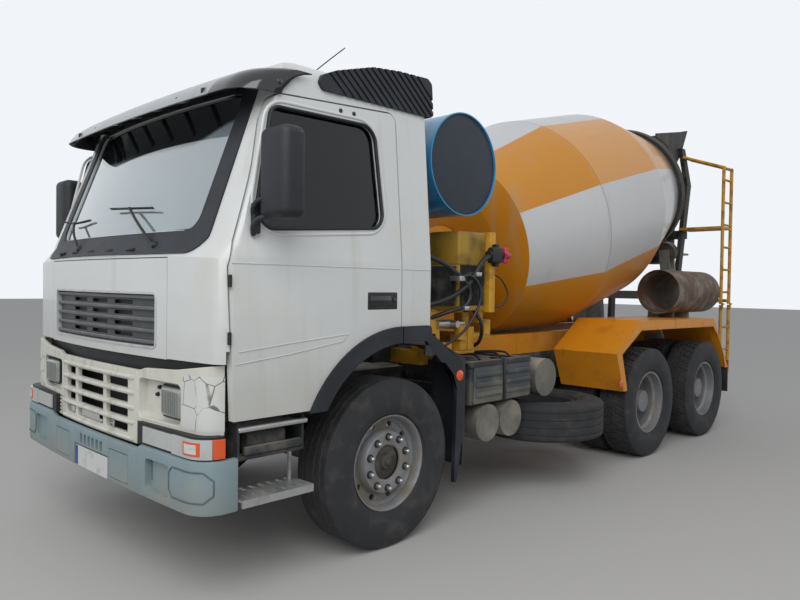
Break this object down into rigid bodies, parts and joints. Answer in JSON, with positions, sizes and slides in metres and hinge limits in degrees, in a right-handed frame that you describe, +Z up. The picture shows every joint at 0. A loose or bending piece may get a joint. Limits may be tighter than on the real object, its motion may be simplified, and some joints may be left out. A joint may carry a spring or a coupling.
{
  "type": "concrete mixer truck",
  "caption": "Concrete mixer truck: cab-over chassis on three axles with a tilted drum turned by its own drive, hopper, swinging chute, water tank and side ladder.",
  "frame": {"origin": "middle of the footprint on the ground, under the middle of the overall box", "axes": "+X forward, +Y to the driver's left, +Z up"},
  "size_m": [7.8598, 3, 3.726],
  "materials": {
    "frame": "dusty satin",
    "engine": "oily and dusty",
    "axle": "dusty",
    "bumper_grey": "worn satin",
    "panel_cream": "aged",
    "lamp": "clear lens",
    "step_alu": "perforated",
    "black_plastic": "worn",
    "box_grey": "dusty",
    "tank_grey": "dusty",
    "tyre": "dusty",
    "rim": "dusty silver",
    "yellow": "worn satin",
    "tank_blue": "satin",
    "pedestal": "worn",
    "ladder": "rusty",
    "hopper": "worn with cement",
    "chute": "rusty with cement",
    "cab_white": "semi gloss",
    "glass": "tinted",
    "visor": "smoky",
    "trim_dark": "fabric and plastic",
    "drum_paint": "semi gloss"
  },
  "bodies": {
    "chassis": {"frame_rails": "frame", "engine": "engine", "front_axle": "axle", "drive_axles": "axle", "bumper": "bumper_grey", "lower_front_panel": "panel_cream", "lamps": "lamp", "entry_steps": "step_alu", "front_mudguards": "black_plastic", "battery_box": "box_grey", "chassis_tanks": "tank_grey", "spare_wheel": "tyre", "subframe": "yellow", "drum_drive": "yellow", "water_tank": "tank_blue", "rear_pedestal": "pedestal", "rear_mudguards": "yellow", "platform": "ladder", "portal": "hopper", "hopper": "hopper", "stored_chute": "chute", "cab_shell": "cab_white", "cab_glass": "glass", "sun_visor": "visor", "roof_vanes": "black_plastic", "cab_interior": "trim_dark"},
    "front_hatch": {"front_hatch": "cab_white"},
    "door_left": {"door_left": "cab_white", "door_glass_left": "glass", "mirror_left": "black_plastic"},
    "door_right": {"door_right": "cab_white", "door_glass_right": "glass", "mirror_right": "black_plastic"},
    "knuckle_left": {"knuckle_left": "axle"},
    "knuckle_right": {"knuckle_right": "axle"},
    "drum": {"drum": "drum_paint"},
    "roller_left": {"roller_left": "frame"},
    "roller_right": {"roller_right": "frame"},
    "chute_head": {"chute_head": "hopper"},
    "chute": {"chute": "chute"},
    "ladder_lower": {"ladder_lower": "ladder"},
    "wheel_front_left": {"tyre_front_left": "tyre", "rim_front_left": "rim"},
    "wheels_rear_1_left": {"tyres_rear_1_left": "tyre", "rims_rear_1_left": "rim"},
    "wheels_rear_2_left": {"tyres_rear_2_left": "tyre", "rims_rear_2_left": "rim"},
    "wheel_front_right": {"tyre_front_right": "tyre", "rim_front_right": "rim"},
    "wheels_rear_1_right": {"tyres_rear_1_right": "tyre", "rims_rear_1_right": "rim"},
    "wheels_rear_2_right": {"tyres_rear_2_right": "tyre", "rims_rear_2_right": "rim"}
  },
  "joints": [
    {"name": "front_hatch_lift", "type": "hinge", "parent": "chassis", "child": "front_hatch", "pos_m": [3.892, 0, 1.756], "axis": [0, -1, 0], "range_deg": [0, 80]},
    {"name": "door_left_swing", "type": "hinge", "parent": "chassis", "child": "door_left", "pos_m": [3.744, 1.25, 1.5], "axis": [0, 0, -1], "range_deg": [0, 75]},
    {"name": "door_right_swing", "type": "hinge", "parent": "chassis", "child": "door_right", "pos_m": [3.744, -1.25, 1.5], "axis": [0, 0, 1], "range_deg": [0, 75]},
    {"name": "steer_left", "type": "hinge", "parent": "chassis", "child": "knuckle_left", "pos_m": [2.54, 0.8, 0.526], "axis": [0, 0, 1], "range_deg": [-38, 38]},
    {"name": "steer_right", "type": "hinge", "parent": "chassis", "child": "knuckle_right", "pos_m": [2.54, -0.8, 0.526], "axis": [0, 0, 1], "range_deg": [-38, 38]},
    {"name": "wheel_front_left_roll", "type": "hinge", "parent": "knuckle_left", "child": "wheel_front_left", "pos_m": [2.54, 1.028, 0.526], "axis": [0, 1, 0], "continuous": true},
    {"name": "wheels_rear_1_left_roll", "type": "hinge", "parent": "chassis", "child": "wheels_rear_1_left", "pos_m": [-0.95, 0.921, 0.526], "axis": [0, 1, 0], "continuous": true},
    {"name": "wheels_rear_2_left_roll", "type": "hinge", "parent": "chassis", "child": "wheels_rear_2_left", "pos_m": [-2.32, 0.921, 0.526], "axis": [0, 1, 0], "continuous": true},
    {"name": "wheel_front_right_roll", "type": "hinge", "parent": "knuckle_right", "child": "wheel_front_right", "pos_m": [2.54, -1.028, 0.526], "axis": [0, 1, 0], "continuous": true},
    {"name": "wheels_rear_1_right_roll", "type": "hinge", "parent": "chassis", "child": "wheels_rear_1_right", "pos_m": [-0.95, -0.921, 0.526], "axis": [0, 1, 0], "continuous": true},
    {"name": "wheels_rear_2_right_roll", "type": "hinge", "parent": "chassis", "child": "wheels_rear_2_right", "pos_m": [-2.32, -0.921, 0.526], "axis": [0, 1, 0], "continuous": true},
    {"name": "drum_spin", "type": "hinge", "parent": "chassis", "child": "drum", "pos_m": [0.606, 0, 1.983], "axis": [-0.9688, 0, 0.2479], "continuous": true},
    {"name": "roller_left_spin", "type": "hinge", "parent": "chassis", "child": "roller_left", "pos_m": [-2.84767, 0.53073, 2.08441], "axis": [-0.9688, 0, 0.2479], "continuous": true},
    {"name": "roller_right_spin", "type": "hinge", "parent": "chassis", "child": "roller_right", "pos_m": [-2.84767, -0.53073, 2.08441], "axis": [-0.9688, 0, 0.2479], "continuous": true},
    {"name": "chute_swing", "type": "hinge", "parent": "chassis", "child": "chute_head", "pos_m": [-3.67, 0, 1.99], "axis": [0, 0, -1], "range_deg": [0, 150]},
    {"name": "chute_tilt", "type": "hinge", "parent": "chute_head", "child": "chute", "pos_m": [-3.67, -0.19, 2.026], "axis": [1, 0, 0], "range_deg": [-12, 14]},
    {"name": "ladder_fold", "type": "hinge", "parent": "chassis", "child": "ladder_lower", "pos_m": [-3.46, 1.026, 1.45], "axis": [1, 0, 0], "range_deg": [0, 170]}
  ],
  "couplings": [
    {"joint": "steer_right", "follows": "steer_left", "ratio": 1},
    {"joint": "roller_left_spin", "follows": "drum_spin", "ratio": -6.4},
    {"joint": "roller_right_spin", "follows": "drum_spin", "ratio": -6.4}
  ]
}
